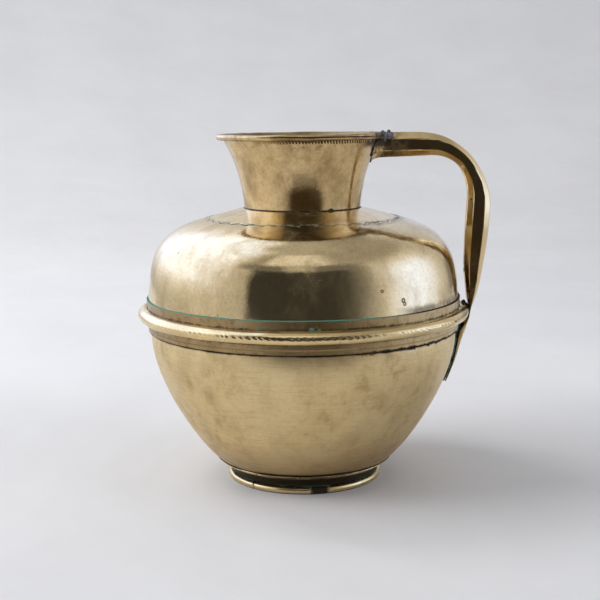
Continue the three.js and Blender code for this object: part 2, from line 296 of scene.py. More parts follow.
BOWL_SEAT, FLANGE_HIGH = 67.2, 16.3  # where the foot's flange ends on the bowl
BOWL_FLAT = 36  # radius of the level bottom
bowl_side = bezier((BOWL_RADIUS, BAND_LOW), (121.3, 86), (86.3, 30.4), (BOWL_SEAT, FLANGE_HIGH), 64)
bowl_under = bezier((BOWL_SEAT, FLANGE_HIGH), (61, 11.6), (50, BOWL_LOW), (BOWL_FLAT, BOWL_LOW), 18)
bowl_top = line((BOWL_RADIUS + TAPER, BOWL_TOP), (BOWL_RADIUS, BAND_LOW), 8)
bowl_outline = joined(bowl_top, bowl_side, bowl_under, line((BOWL_FLAT, BOWL_LOW), (0, BOWL_LOW), 8))


def make_bowl():
    outline = bowl_outline[::-1]
    section = sheet(outline, SHEET, ends=(False, True))
    return lathe("bowl_shell", section, 384, hammered(section, len(outline), 0.02, 0.1))


# -------- shoulder, collar and their toothed seam

tooth_rng = np.random.default_rng(21)
tooth_sizes = tooth_rng.uniform(0.7, 1.15, SEAM_TEETH)
tooth_peaks = tooth_rng.uniform(0.6, 0.78, SEAM_TEETH)


def seam_shift(angle):
    """How far the cramp seam runs out from its mean radius: each tooth has a long slope and a short one."""
    along = np.mod(angle / TURN, 1) * SEAM_TEETH
    tooth = along.astype(int) % SEAM_TEETH
    part = along - np.floor(along)
    peak = tooth_peaks[tooth]
    rise = np.where(part < peak, part / peak, (1 - part) / (1 - peak))
    return TOOTH * (2 * rise - 1) * tooth_sizes[tooth]


SEAM_GAP = 0.32
TOOTH_FADE = 8  # how far from the seam its teeth die away
SHOULDER_DENTS = [(-34, 199, 7, -0.25), (28, 178, 6, -0.12), (-58, 176, 9, -0.15), (62, 186, 8, -0.14)]
shoulder_dome = bezier((BELLY, BAND_HIGH), (118.3, 170.7), (119.5, 195.6), (SEAM_RADIUS, SEAM_HEIGHT), 60)


def toothed(radius, height, angle, near):
    shift = seam_shift(angle) * near
    return radius + shift * math.cos(SEAM_SLOPE), height - shift * math.sin(SEAM_SLOPE)


def make_shoulder():
    lap = BOWL_RADIUS - SHEET - 2 * GAP
    edge = SEAM_RADIUS + SEAM_GAP
    foot = joined(
        line((lap, LAP_LOW), (lap, BOWL_TOP + 2 * GAP), 4),
        line((lap, BOWL_TOP + 2 * GAP), (BELLY - TAPER, BOWL_TOP + 4), 3),
        line((BELLY - TAPER, BOWL_TOP + 4), (BELLY, BAND_HIGH), 3),
    )
    dome = shoulder_dome.copy()
    dome[-1] = (edge, SEAM_HEIGHT - 0.1)
    outline = joined(foot, dome)
    section = sheet(outline, SHEET)
    beat = hammered(section, len(outline), 0.028, 0.12)
    near = step(edge + TOOTH_FADE, edge + 0.5, section[:, :1])

    def shape(radius, height, angle, points):
        sunk = dents(radius, height, angle, SHOULDER_DENTS)
        radius, height = beat(radius, height, angle, points)
        radius, height = toothed(radius, height, angle, near)
        return radius + sunk * 0.6, height + sunk * 0.8

    return lathe("shoulder_shell", section, 576, shape)


def make_collar():
    edge = SEAM_RADIUS - SEAM_GAP
    upstand = NECK_RADIUS - SHEET - 2 * GAP
    turns_from, turns_to = (NECK_RADIUS + 3.4, NECK_LOW - 1.15), (upstand, NECK_LOW + 1.2)
    outline = joined(
        line((edge, SEAM_HEIGHT + 0.1), turns_from, 22),
        bezier(turns_from, (45.4, 212.6), (upstand, 212.4), turns_to, 6),
        line(turns_to, (upstand, NECK_LOW + 8), 2),
    )
    section = sheet(outline, SHEET)
    beat = hammered(section, len(outline), 0.02, 0.05)
    near = step(edge - TOOTH_FADE, edge - 0.5, section[:, :1])

    def shape(radius, height, angle, points):
        radius, height = beat(radius, height, angle, points)
        return toothed(radius, height, angle, near)

    return lathe("collar_shell", section, 576, shape)


def make_seam_filler():
    lap, crown_height = 0.12, 0.1
    half = SEAM_GAP + lap
    fall = math.tan(SEAM_SLOPE)
    across = np.linspace(-half, half, 5)
    crown = crown_height - crown_height * (across / half) ** 2
    top = np.stack([SEAM_RADIUS + across, SEAM_HEIGHT - across * fall + crown], 1)
    under = top[::-1] - [0, SHEET]
    section = np.concatenate([top, under])

    def shape(radius, height, angle, _):
        radius, height = toothed(radius, height, angle, 1)
        rough = roughness_of_filler(round_axis(radius, angle, height))
        return radius + 0.1 * rough, height + 0.05 * rough

    return lathe("seam_filler", section, 1152, shape)


# -------- neck and rim

WIRE_X, WIRE_Z = RIM_RADIUS - RIM_CURL, RIM_TOP - 1.4
FLARE_END = (59.4, 263.4)
neck_flare = bezier((NECK_RADIUS, NECK_LOW), (46.2, 232), (51.5, 248), FLARE_END, 34)
RIM_TICKS = 160  # file cuts below the rim
TICK_HEIGHT, TICK_RADIUS = 263, 60
HEM_HEIGHT = 265.15  # lower edge of the hem
ROLL_REFLECTION_HEIGHT = 267.6  # height of a painted dark reflection along the front of the roll
TICK_DEPTH = 0.2
TICK_LEAN = 0.55  # how far round a cut runs, for its height
RIM_WAVE, RIM_TILT = 0.12, 0.45


def make_neck():
    """The flare turns over the wire and comes back beneath it to a hem, with slanting file cuts below."""
    flare = joined(neck_flare, line(FLARE_END, (60.4, 265.1), 3))
    inside = moved(neck_flare, SHEET)[::-1]
    section = joined(
        flare,
        line((60.4, 265.1), (62.4, 266.6), 2),
        arc(WIRE_X, WIRE_Z, RIM_CURL - CURL_SHEET, 165, -75, 10),
        line((63.4, 265.85), (61.2, 265.45), 2),
        bezier((61, 265), (61.5, 264.75), (62.3, 264.95), (63.2, 265.2), 5),
        arc(WIRE_X, WIRE_Z, RIM_CURL, -100, 70, 14),
        bezier((WIRE_X + 0.5, 269.46), (WIRE_X, 269.54), (WIRE_X - 0.9, 269.5), (62.4, 269.1), 4),
        bezier((62.4, 269.1), (61.0, 268.3), (59.2, 265.4), inside[0], 4),
        inside,
    )
    beat = hammered(section, len(section), 0.016, 0.1)
    cut_rows = step(261.8, 262.8, section[:, 1:])
    cut_rows[len(flare) :] = 0

    def shape(radius, height, angle, points):
        lean = (height - TICK_HEIGHT) * TICK_LEAN / radius
        tick = np.clip(np.sin((angle + lean) * RIM_TICKS), 0, 1)
        radius, height = beat(radius, height, angle, points)
        wave = RIM_WAVE * wander(points) * step(262, 265, height)
        tilt = RIM_TILT * np.cos(angle) * step(250, 265, height)
        return radius - TICK_DEPTH * tick * cut_rows, height + wave + tilt

    return lathe("neck_shell", section, 960, shape)


def make_rim_wire():
    return lathe("rim_wire_ring", arc(WIRE_X, WIRE_Z, WIRE_RADIUS, 0, 324, 9), 192)


NECK_LUMP_AZIMUTH, NECK_LUMP_WIDTH = 27.8, 0.05


def make_neck_filler():
    """An uneven fillet where the neck stands on the collar, with one lump at the front."""
    edge, seat = NECK_RADIUS + 0.1, NECK_LOW - 0.6
    fillet = [(-0.5, 0), (0.65, 0), (0.4, 0.25), (0.2, 0.45), (0.06, 0.7), (-0.5, 0.7)]
    section = np.array(fillet) + (edge, seat)

    def shape(radius, height, angle, points):
        rough = roughness_of_filler(points)
        lump = np.exp(-(angle_from(NECK_LUMP_AZIMUTH, angle) ** 2) / NECK_LUMP_WIDTH**2)
        grow = 0.95 + 0.35 * rough + 0.35 * wander(points) + 2.2 * lump
        grow = np.clip(grow, 0.45, 3.2)
        return edge + (radius - edge) * grow, seat + (height - seat) * grow

    return lathe("neck_joint_filler", section, 720, shape)


# -------- band

def make_strip():
    """A strip that is set back below a small step, with a lower edge that wanders."""
    low_side, high_side = (BELLY + 0.16, BAND_LOW + 3.1), (BELLY + 0.42, BAND_LOW + 4.4)
    outline = joined(
        line((BELLY, BAND_LOW), low_side, 5),
        bezier(low_side, (BELLY + 0.18, BAND_LOW + 3.6), (BELLY + 0.38, BAND_LOW + 3.7), high_side, 5),
        line(high_side, (BAND_RADIUS, BAND_HIGH), 22),
    )
    section = sheet(outline, THIN_SHEET)
    beat = hammered(section, len(outline), 0.02, 0.08)

    def shape(radius, height, angle, points):
        edge = step(BAND_LOW + 3, BAND_LOW, height)
        radius, height = beat(radius, height, angle, points)
        return radius, height + edge * 0.22 * wander(points)

    return lathe("belly_strip_band", section, 480, shape)


BEAD_SEAT = BAND_RADIUS + 0.1
BEAD_NOTCHES = 162
NOTCH_TURN, NOTCH_SPREAD = 5, 9  # degrees up the moulding to the notches, and their spread
NOTCH_DEPTH = 0.6
NOTCH_LEAN = 1.5
WORN_NOTCHES = (-52, -30)  # azimuths between which the notches become worn, towards the left


def moulding(inset, turn):
    """The bead's outline at turns from -90 to 90 degrees: sloping above its crest, fuller below."""
    bulge = np.cos(np.radians(turn)).clip(0) ** np.where(turn > 0, 1.25, 0.7)
    reach, rise = BEAD_RADIUS - BEAD_SEAT - inset, BEAD_HALF - inset
    return np.stack([BEAD_SEAT + reach * bulge, BEAD_MID + rise * np.sin(np.radians(turn))], 1)


def make_bead():
    turn = np.linspace(-90, 90, 31)
    section = np.concatenate([moulding(0, turn), moulding(SHEET, turn[::-4])])
    notched = np.zeros((len(section), 1))
    notched[: len(turn), 0] = np.exp(-(((turn - NOTCH_TURN) / NOTCH_SPREAD) ** 2))

    def shape(radius, height, angle, points):
        lean = (height - BEAD_MID) * NOTCH_LEAN / radius
        worn = 0.25 + 0.75 * step(*WORN_NOTCHES, np.degrees(angle_from(0, angle)))
        phase = (angle + lean) * BEAD_NOTCHES + 1.4 * wander(points)
        cut = np.clip(np.cos(phase) - 0.25, 0, 1) ** 0.8
        depth = NOTCH_DEPTH * cut * notched * worn * (0.8 + 0.35 * wander(points * 1.7))
        ripple = 0.05 * wander(points) + 0.06 * sag(points)
        return radius - depth + ripple, height + 0.1 * wander(points * 0.6)

    return lathe("belly_bead_moulding", section, 1296, shape)


# -------- foot

FLANGE_END = (BOWL_SEAT + 0.7, FLANGE_HIGH - 0.8)
foot_outline = bezier(FLANGE_END, (62.6, 11.5), (58.3, 10.6), (58, FOOT_TOP + GAP), 22)


def make_foot_ring():
    outline = joined(line((FLANGE_END[0] + 0.9, FLANGE_END[1] + 0.65), FLANGE_END, 2), foot_outline)[::-1]
    section = sheet(outline, THIN_SHEET)
    beat = hammered(section, len(outline), 0.03, 0.05)

    def shape(radius, height, angle, points):
        edge = step(FLANGE_HIGH - 2.5, FLANGE_HIGH + 0.5, height)
        radius, height = beat(radius, height, angle, points)
        return radius + edge * 0.25 * wander(points), height

    return lathe("foot_flange", section, 384, shape)


BUTT_ANGLE = math.radians(-130.6)
BUTT_GAP = 0.4
FOOT_WANDER = 0.0012  # in parts of its radius


def make_foot_bead():
    """A wire ring with its two ends butted together at the front left, and a flat worn on its underside."""
    centre, middle = FOOT_RADIUS - FOOT_BEAD, FOOT_TOP - FOOT_BEAD
    half_gap = BUTT_GAP / 2 / centre
    angle = np.linspace(BUTT_ANGLE + half_gap, BUTT_ANGLE - half_gap + TURN, 385)
    turn = np.linspace(0, TURN, 28, endpoint=False)
    from_end = np.minimum(angle - angle[0], angle[-1] - angle) * centre
    size = FOOT_BEAD - 0.5 * np.exp(-from_end / 0.5)
    radius = centre + size[:, None] * np.cos(turn)
    height = np.maximum(middle + size[:, None] * np.sin(turn), 0)
    points = round_axis(radius, angle[:, None], height)
    points[..., :2] *= 1 + FOOT_WANDER * wander(points)[..., None]
    return make_piece("foot_bead_ring", *skin(points, caps=(0, -1)))


# -------- handle

# Stations down the handle: x and z of its outer face, x and z of its inner face, half its width, and how
# many times wider it is towards the outer face, where the palm spreads under the rim.
stations = np.array([
    [48, 269.8, 43, 242.6, 22, 1.42],
    [55, 269.8, 51.6, 247.7, 16, 1.5],
    [60.5, 269.8, 58.4, 250.2, 10.8, 1.42],
    [67, 269.8, 65.6, 250.7, 8.8, 1.06],
    [91, 269.7, 90, 251.5, 8.5, 1],
    [104, 267.9, 101.5, 251.9, 8.5, 1],
    [114, 264.1, 108.5, 250.8, 8.5, 1],
    [124, 257.3, 115.4, 247.9, 8.5, 1],
    [132.4, 248.9, 121.2, 242.9, 8.5, 1],
    [139, 237.9, 125.3, 235, 8.5, 1],
    [143.5, 226.2, 127.4, 225.4, 8.5, 1],
    [HANDLE_REACH, 215, 127.3, 215, 8.5, 1],
    [144.6, 199, 126.5, 199.3, 8.4, 1],
    [142.7, 181.7, 126, 181.9, 8.2, 1],
    [140.3, 166, 125.8, 166.8, 8.1, 1],
    [137.9, 151.6, 126.9, 153, 8, 1],
    [134.6, 140.1, 128.3, 141.6, 7.8, 1],
    [131.2, 131.8, 129.5, 132.4, 7.6, 1],
    [129.8, 123.9, 127.6, 124.6, 7.2, 1],
    [127.8, 116.3, 122.4, 117.6, 6.8, 1],
    [125.2, 108.9, 120.7, 110, 6.2, 1],
    [120.8, 94.2, 118.7, 94.8, 4.8, 1],
    [116.2, 81.3, 115.1, 81.8, 3.2, 1],
    [112.9, 73.2, 112, 73.6, 1.4, 1],
])
LAST = len(stations) - 1
# Places along the handle, counted in stations.
STRIP_FROM, STRIP_TO = 3.4, 14.2
TONGUE_FROM = 18
STRIP_HALF = 2.6  # half the strip's width
SLOT_DEPTH = 1.1
CORNER_CUT = 0.75


def along_handle(t):
    """The station values at any places along the handle, on a smooth curve through the stations."""
    t = np.clip(t, 0, LAST)
    i = np.minimum(t.astype(int), LAST - 1)
    f = (t - i)[..., None]
    a, b = stations[np.maximum(i - 1, 0)], stations[i]
    c, d = stations[i + 1], stations[np.minimum(i + 2, LAST)]
    return 0.5 * (2 * b + (c - a) * f + (2 * a - 5 * b + 4 * c - d) * f**2 + (3 * b - a - 3 * c + d) * f**3)


def handle_points(t, section):
    """Points on the handle. From the depth, half width and splay at each place, and the place, the section
    gives how far a point is from the middle towards the outer face, and its y."""
    value = along_handle(t)
    outer, inner = value[..., :2], value[..., 2:4]
    depth = np.linalg.norm(outer - inner, axis=-1)
    way = (outer - inner) / depth[..., None]
    towards, y = section(depth, value[..., 4], value[..., 5], t)
    middle = (outer + inner) / 2 + way * towards[..., None]
    return np.stack([middle[..., 0], y, middle[..., 1]], -1)


def pot_radius(height):
    """Radius of the pot's outside where the palm meets it: the flared neck, then the rim."""
    flare = np.interp(height, neck_flare[:, 1], neck_flare[:, 0])
    return flare + (RIM_RADIUS + 0.5 - flare) * step(263.6, 265.6, height)


def octagon(depth, half, splay, t):
    """The points round the handle's section: eight corners, each softened, and a slot down the inner face
    that the strip lies in."""
    flat, bevel, deep, wide = half * 0.42, depth * 0.26, depth / 2, half * splay
    turns = [
        (deep, -flat * splay), (deep, flat * splay), (deep - bevel, wide), (bevel - deep, half),
        (-deep, flat), (-deep, -flat), (bevel - deep, -half), (deep - bevel, -wide),
    ]
    turns = [np.stack(corner, 1) for corner in turns]
    opened = step(STRIP_FROM - 0.3, STRIP_FROM, t) * step(STRIP_TO + 0.3, STRIP_TO, t)
    slot_half = np.minimum(STRIP_HALF + 0.35, flat * 0.9)
    points = []
    for i, corner in enumerate(turns):
        back, on = turns[i - 1] - corner, turns[(i + 1) % 8] - corner
        back_length = np.linalg.norm(back, axis=1)[:, None]
        on_length = np.linalg.norm(on, axis=1)[:, None]
        cut = np.minimum(CORNER_CUT, np.minimum(back_length, on_length) * 0.3)
        first, last = corner + back / back_length * cut, corner + on / on_length * cut
        points += [first, corner * 0.5 + (first + last) * 0.25, last]
        if i == 4:
            for down, across in ((0, 1), (1, 0.93), (1, 0), (1, -0.93), (0, -1)):
                points.append(np.stack([down * SLOT_DEPTH * opened - deep, slot_half * across], 1))
        else:
            near = np.minimum(1.15, on_length * 0.38) / on_length
            points += [corner + on * near, corner + on * 0.5, corner + on * (1 - near)]
    return points


HANDLE_ROWS = 210
HANDLE_COLUMNS = len(octagon(*np.ones((4, 1))))


def handle_grid(t):
    """Points for a grid of places along the handle, one column for each point of its section."""
    found = np.zeros(t.shape + (3,))
    for j in range(HANDLE_COLUMNS):
        def one(depth, half, splay, at):
            return octagon(depth, half, splay, at)[j].T
        found[:, j] = handle_points(t[:, j], one)
    return found


def handle_starts():
    """The place along the handle at which each line of it comes out of the pot."""
    fine = np.linspace(0, 4, 400)
    lines = handle_grid(np.repeat(fine[:, None], HANDLE_COLUMNS, 1))
    outside = np.hypot(lines[..., 0], lines[..., 1]) > pot_radius(lines[..., 2]) + 0.05
    # Every line starts inside the pot.
    last_inside = len(fine) - 1 - np.argmax(~outside[::-1], axis=0)
    return fine[last_inside + 1]


def make_handle():
    """The folded tube from its palm to its tongue's tip, and the line where the palm meets the pot."""
    start = handle_starts()
    share = np.linspace(0, 1, HANDLE_ROWS)[:, None]
    points = handle_grid(start + (LAST - start) * share)
    beaten = 0.16 * sag(points * 2.2) + 0.03 * hammering(points * 1.3)
    points[..., 1] += beaten * np.sign(points[..., 1]) * step(0, 0.06, share)
    points[..., 0] += 0.5 * beaten * step(0, 0.06, share)
    edge = points[0]
    angle, height = np.arctan2(edge[:, 1], edge[:, 0]), edge[:, 2]
    cap = []
    for part in (0.15, 0.4, 0.7):
        level = height.mean() + (height - height.mean()) * part
        cap.append(round_axis(pot_radius(level) - 0.25, angle * part, level))
    points = np.concatenate([cap, points])
    return make_piece("handle_tube", *skin(points, caps=(0, -1)), crease=24), edge


def make_inner_strip():
    """The strip let in flush between the handle's folded edges."""
    t = np.linspace(STRIP_FROM, STRIP_TO, 130)
    half_outline = [(-0.05, 0.6), (0, 0.9), (0.25, 1), (1.05, 1)]
    outline = [(-0.05, 0), *half_outline, *[(down, -across) for down, across in half_outline[::-1]]]
    columns = []
    for down, across in outline:
        def one(depth, *_):
            return down - depth / 2, np.full_like(depth, STRIP_HALF * across)
        columns.append(handle_points(t, one))
    points = np.stack(columns, 1)
    points[..., 0] += 0.05 * wander(points)
    return make_piece("handle_strip", *skin(points, caps=(0, -1)), crease=30)


# -------- filler metal

def make_palm_filler(edge):
    """A rough run of filler along the line where the palm meets the neck."""
    neck_near_palm = 55
    loop = np.stack([np.arctan2(edge[:, 1], edge[:, 0]), edge[:, 2]], 1)
    closed = np.concatenate([loop, loop[:1]])
    lengths = np.linalg.norm(np.diff(closed, axis=0) * [neck_near_palm, 1], axis=1)
    reached = np.concatenate([[0], np.cumsum(lengths)])
    at = np.linspace(0, reached[-1], 420, endpoint=False)
    angle, height = (np.interp(at, reached, closed[:, k]) for k in (0, 1))
    centre = round_axis(pot_radius(height), angle, height)
    ahead = np.roll(centre, -1, 0) - np.roll(centre, 1, 0)
    ahead /= np.linalg.norm(ahead, axis=1)[:, None]
    out = round_axis(np.ones_like(angle), angle, np.zeros_like(angle))
    aside = np.cross(ahead, out)
    turn = np.linspace(0, TURN, 12, endpoint=False)
    rough = roughness_of_filler(centre)
    size = np.clip(1.15 + 0.28 * rough + 0.25 * wander(centre), 0.5, 1.9)[:, None, None]
    around = np.cos(turn)[None, :, None] * out[:, None] * 0.8 + np.sin(turn)[None, :, None] * aside[:, None]
    points = centre[:, None] + around * size
    return make_piece("palm_filler", *skin(points, ring_rows=True))


def make_tongue_filler():
    """Filler metal that beds the tongue on the bowl, spread a little past its edges."""
    t = np.linspace(TONGUE_FROM + 0.35, LAST - 0.05, 90)
    value = along_handle(t)
    half, inner_x, inner_z = value[:, 4], value[:, 2], value[:, 3]
    bowl_heights, bowl_radii = bowl_outline[::-1, 1], bowl_outline[::-1, 0]
    # The share of the tongue's half width, and of the way from the bowl up to the tongue.
    one_side = [(0.93, 0.8), (1.01, 0.3), (1.07, 0), (0.9, -0.3)]
    other_side = [(-share, lift) for share, lift in one_side[::-1]]
    columns = []
    for share, lift in other_side + one_side:
        y = half * share
        y = y + 0.25 * wander(np.stack([inner_x, y, inner_z], 1)) * np.sign(share) * (abs(share) > 1)
        surface = np.sqrt(np.interp(inner_z, bowl_heights, bowl_radii) ** 2 - y**2)
        columns.append(np.stack([surface + (inner_x + 0.3 - surface) * lift, y, inner_z], 1))
    return make_piece("tongue_filler", *skin(np.stack(columns, 1), caps=(0, -1)))


LUMP_VOXEL, LUMP_ROUGHNESS = 0.4, 0.3


def make_lump(name, balls):
    """Balls of filler run together: [x, y, z, radius] of each."""
    work = bmesh.new()
    for x, y, z, radius in balls:
        made = bmesh.ops.create_icosphere(work, subdivisions=4, radius=radius)["verts"]
        for vertex in made:
            vertex.co += Vector((x, y, z))
    mesh = bpy.data.meshes.new(name)
    work.to_mesh(mesh)
    work.free()
    source = in_scene(name + "_source", mesh)
    remesh = source.modifiers.new("remesh", "REMESH")
    remesh.mode = "VOXEL"
    remesh.voxel_size = LUMP_VOXEL
    smooth = source.modifiers.new("smooth", "SMOOTH")
    smooth.iterations = 3
    done = source.evaluated_get(bpy.context.evaluated_depsgraph_get()).to_mesh()
    points = np.array([v.co for v in done.vertices])
    normals = np.array([v.normal for v in done.vertices])
    faces = [list(p.vertices) for p in done.polygons]
    bpy.data.objects.remove(source)
    points = points + normals * (LUMP_ROUGHNESS * roughness_of_filler(points))[:, None]
    return make_piece(name, points, faces, crease=180)


RIM_SOLDER = [
    (60.8, -27, 267.7, 2.5), (63.4, -23.2, 267, 2.5), (66.4, -17.4, 267.4, 2.1),
    (58.6, -29.6, 266.4, 1.4), (61.8, -25.6, 264.9, 1.7), (67.6, -12.6, 267.2, 2.1),
    (60.4, -27.2, 269.7, 1.5), (68.6, -16.4, 268.6, 1.1), (59.2, -28.8, 269.2, 1.1),
    (65.2, -20.2, 267.3, 2.4),
]
BAND_SOLDER = [
    (126.4, -4.5, 133.6, 2.6), (126.8, -1, 134.2, 2.8), (126.6, 2.5, 134, 2.6), (127, 5.4, 133.4, 2),
    (125.2, -6.6, 132.6, 1.8), (127.4, -7.2, 129.4, 1.3), (125.6, 0, 136.6, 1.9), (125, -7.8, 136.8, 1.1),
]


# -------- material nodes

class Nodes:
    """A material's nodes, made a call at a time. Numbers and sockets may be given alike."""

    def __init__(self, name):
        self.material = bpy.data.materials.new(name)
        self.material.use_nodes = True
        self.tree = self.material.node_tree
        self.tree.nodes.clear()
        # Millimetres from the pot's axis.
        from_axis = self.vector("SUBTRACT", self.node("TexCoord", [], "Object"), (AXIS_X * MM, 0, 0))
        self.point = self.vector("MULTIPLY", from_axis, (1 / MM, 1 / MM, 1 / MM))
        self.x, self.y, self.z = self.parts(self.point)
        self.radius = self.math("SQRT", self.add(self.times(self.x, self.x), self.times(self.y, self.y)))
        # Degrees round from the front, positive towards the handle.
        self.azimuth = self.times(self.math("ARCTAN2", self.x, self.times(self.y, -1)), 180 / math.pi)
        self.facing_x, self.facing_y, self.facing_up = self.parts(self.node("TexCoord", [], "Normal"))
        # 1 where the surface faces straight out from the axis, -1 where it faces straight in.
        outward = self.add(self.times(self.facing_x, self.x), self.times(self.facing_y, self.y))
        self.facing_out = self.math("DIVIDE", outward, self.most(self.radius, 0.01))

    def node(self, kind, inputs, output=0, **settings):
        """The output of a new node. Inputs are pairs: a place or a name, and a number, colour or socket."""
        made = self.tree.nodes.new("ShaderNode" + kind)
        for name, value in settings.items():
            setattr(made, name, value)
        for key, value in inputs:
            if isinstance(value, bpy.types.NodeSocket):
                self.tree.links.new(value, made.inputs[key])
            else:
                made.inputs[key].default_value = value
        return made.outputs[output]

    def parts(self, vector):
        return self.node("SeparateXYZ", [(0, vector)]).node.outputs

    def math(self, operation, *values):
        return self.node("Math", enumerate(values), operation=operation)

    def add(self, *values):
        return reduce(partial(self.math, "ADD"), values)

    def times(self, *values):
        return reduce(partial(self.math, "MULTIPLY"), values)

    def most(self, *values):
        return reduce(partial(self.math, "MAXIMUM"), values)

    def swayed(self, value, other, amount):
        """A value with some of another added, such as a height that a noise moves up and down."""
        return self.add(value, self.times(other, amount))

    def vector(self, operation, a, b):
        output = "Value" if operation == "DISTANCE" else "Vector"
        return self.node("VectorMath", enumerate((a, b)), output, operation=operation)

    def noise(self, size, detail, rough, stretch=(1, 1, 1), offset=0):
        """Noise from 0 to 1 with features of a size in millimetres."""
        scale = tuple(1 / (size * s) for s in stretch)
        at = self.vector("MULTIPLY", self.vector("ADD", self.point, (offset, offset, offset)), scale)
        inputs = [("Vector", at), ("Scale", 1), ("Detail", detail), ("Roughness", rough)]
        return self.node("TexNoise", inputs, "Fac")

    def ramp(self, value, low, high, to_low=0, to_high=1):
        inputs = enumerate((value, low, high, to_low, to_high))
        return self.node("MapRange", inputs, interpolation_type="SMOOTHSTEP")

    def band(self, value, middle, half, soft):
        """1 within half of the middle, falling to 0 over the soft width."""
        return self.ramp(self.math("ABSOLUTE", self.add(value, -middle)), half + soft, half)

    def spot(self, azimuth, level, radius, size, soft):
        """1 within a size of one point of the surface, falling to 0 over the soft width."""
        turn = math.radians(azimuth)
        at = (radius * math.sin(turn), -radius * math.cos(turn), level)
        return self.ramp(self.vector("DISTANCE", self.point, at), size + soft, size)

    def mix(self, factor, a, b):
        """A colour part way from a to b."""
        a, b = (color if isinstance(color, bpy.types.NodeSocket) else (*color, 1) for color in (a, b))
        return self.node("Mix", [(0, factor), (6, a), (7, b)], 2, data_type="RGBA")

    def between(self, factor, a, b):
        """A number part way from a to b."""
        return self.node("Mix", [(0, factor), (2, a), (3, b)])

    def bump(self, height, distance, under=None):
        """Height is in parts of the distance, which is in millimetres."""
        inputs = [("Strength", 1), ("Distance", distance * MM), ("Height", height)]
        if under is not None:
            inputs.append(("Normal", under))
        return self.node("Bump", inputs)

    def principled(self, **values):
        inputs = [(name.replace("_", " "), value) for name, value in values.items()]
        return self.finished(self.node("BsdfPrincipled", inputs))

    def finished(self, shader):
        output = self.tree.nodes.new("ShaderNodeOutputMaterial")
        self.tree.links.new(shader, output.inputs[0])
        return self.material


BRASS = (0.80, 0.625, 0.335)
STRIP_TINT = (0.40, 0.295, 0.15)
NECK_TINT = (0.70, 0.52, 0.265)
SHOULDER_TINT = (0.81, 0.655, 0.39)
COLLAR_TINT = (0.93, 0.77, 0.48)
BROWN = (0.36, 0.235, 0.105)
# Colour of dirt and pits, also used for painted shade and painted dark reflections
GRIME_AND_SHADE = (0.016, 0.011, 0.006)
VERDIGRIS = (0.085, 0.235, 0.185)
TEAL = (0.10, 0.30, 0.24)


class BrassNodes(Nodes):
    """With the two noises that a piece's own marks follow too."""

    def __init__(self, name):
        super().__init__(name)
        self.blotch = self.noise(13, 5, 0.62, offset=31)
        self.fine = self.noise(2.2, 4, 0.6, offset=7)


def brass(name, rough, tint=BRASS, tarnish=0.5, scratch=0.5, mottled=0.5, dents=0, marks=None, light_and_shade_tints=None):
    """Old polished brass: cloudy tarnish, fine level scratches and small pits. The function marks gives a
    piece's own masks for dark marks, which are dirt and on some pieces painted shade or a painted dark
    reflection, and for verdigris; the last argument gives pairs of a mask and a colour that paint light or
    shade onto a piece."""
    n = BrassNodes(name)
    blotch, fine = n.blotch, n.fine
    cloud = n.noise(46, 4, 0.55)
    grain = n.noise(0.55, 2, 0.5, offset=3)
    level = n.noise(1, 3, 0.6, stretch=(26, 26, 0.35))
    hair = n.noise(1, 2, 0.5, stretch=(9, 9, 0.16), offset=50)
    drift = n.noise(22, 5, 0.65, stretch=(1, 1, 1.6), offset=120)
    stain = n.times(n.ramp(blotch, 0.46, 0.74), n.ramp(cloud, 0.40, 0.62))
    pits = n.times(n.ramp(fine, 0.70, 0.78), n.ramp(blotch, 0.45, 0.6))
    duller = tuple(c * k for c, k in zip(tint, (0.93, 0.90, 0.84)))
    color = n.mix(n.ramp(cloud, 0.3, 0.7), tint, duller)
    color = n.mix(n.ramp(drift, 0.42, 0.72, 0, 0.5 * mottled), color, BROWN)
    color = n.mix(n.ramp(fine, 0.4, 0.75, 0, 0.26 * mottled), color, BROWN)
    color = n.mix(n.ramp(level, 0.5, 0.8, 0, 0.22 * scratch), color, BROWN)
    color = n.mix(n.times(stain, 0.55 * tarnish), color, BROWN)
    color = n.mix(n.times(pits, 0.6), color, GRIME_AND_SHADE)
    # Painted light and shade, laid on as colours by mask
    for mask, hue in light_and_shade_tints(n) if light_and_shade_tints else []:
        color = n.mix(mask, color, hue)
    roughness = n.add(rough, n.ramp(blotch, 0.35, 0.75, -0.03, 0.07))
    roughness = n.add(roughness, n.ramp(level, 0.45, 0.8, 0, 0.10 * scratch))
    roughness = n.add(roughness, n.times(stain, 0.14))
    metal = n.ramp(drift, 0.45, 0.75, 1, 1 - 0.14 * mottled)
    if marks:
        # Dark marks: dirt, and on some pieces painted shade or a painted dark reflection
        dark_marks, green = marks(n)
        color = n.mix(dark_marks, color, GRIME_AND_SHADE)
        color = n.mix(green, color, n.mix(fine, VERDIGRIS, TEAL))
        cover = n.most(n.times(dark_marks, 0.75), green)
        roughness = n.between(cover, roughness, 0.62)
        metal = n.times(metal, n.math("SUBTRACT", 1, cover))
    height = n.add(n.times(fine, 0.35), n.times(n.ramp(pits, 0, 1), -1.0), n.times(blotch, dents))
    normal = n.bump(height, 0.02)
    normal = n.bump(n.swayed(level, hair, 0.6), 0.0035 * scratch, under=normal)
    normal = n.bump(grain, 0.0012, under=normal)
    return n.principled(
        Base_Color=color, Metallic=metal, Roughness=roughness, Normal=normal, Specular_IOR_Level=0.12)


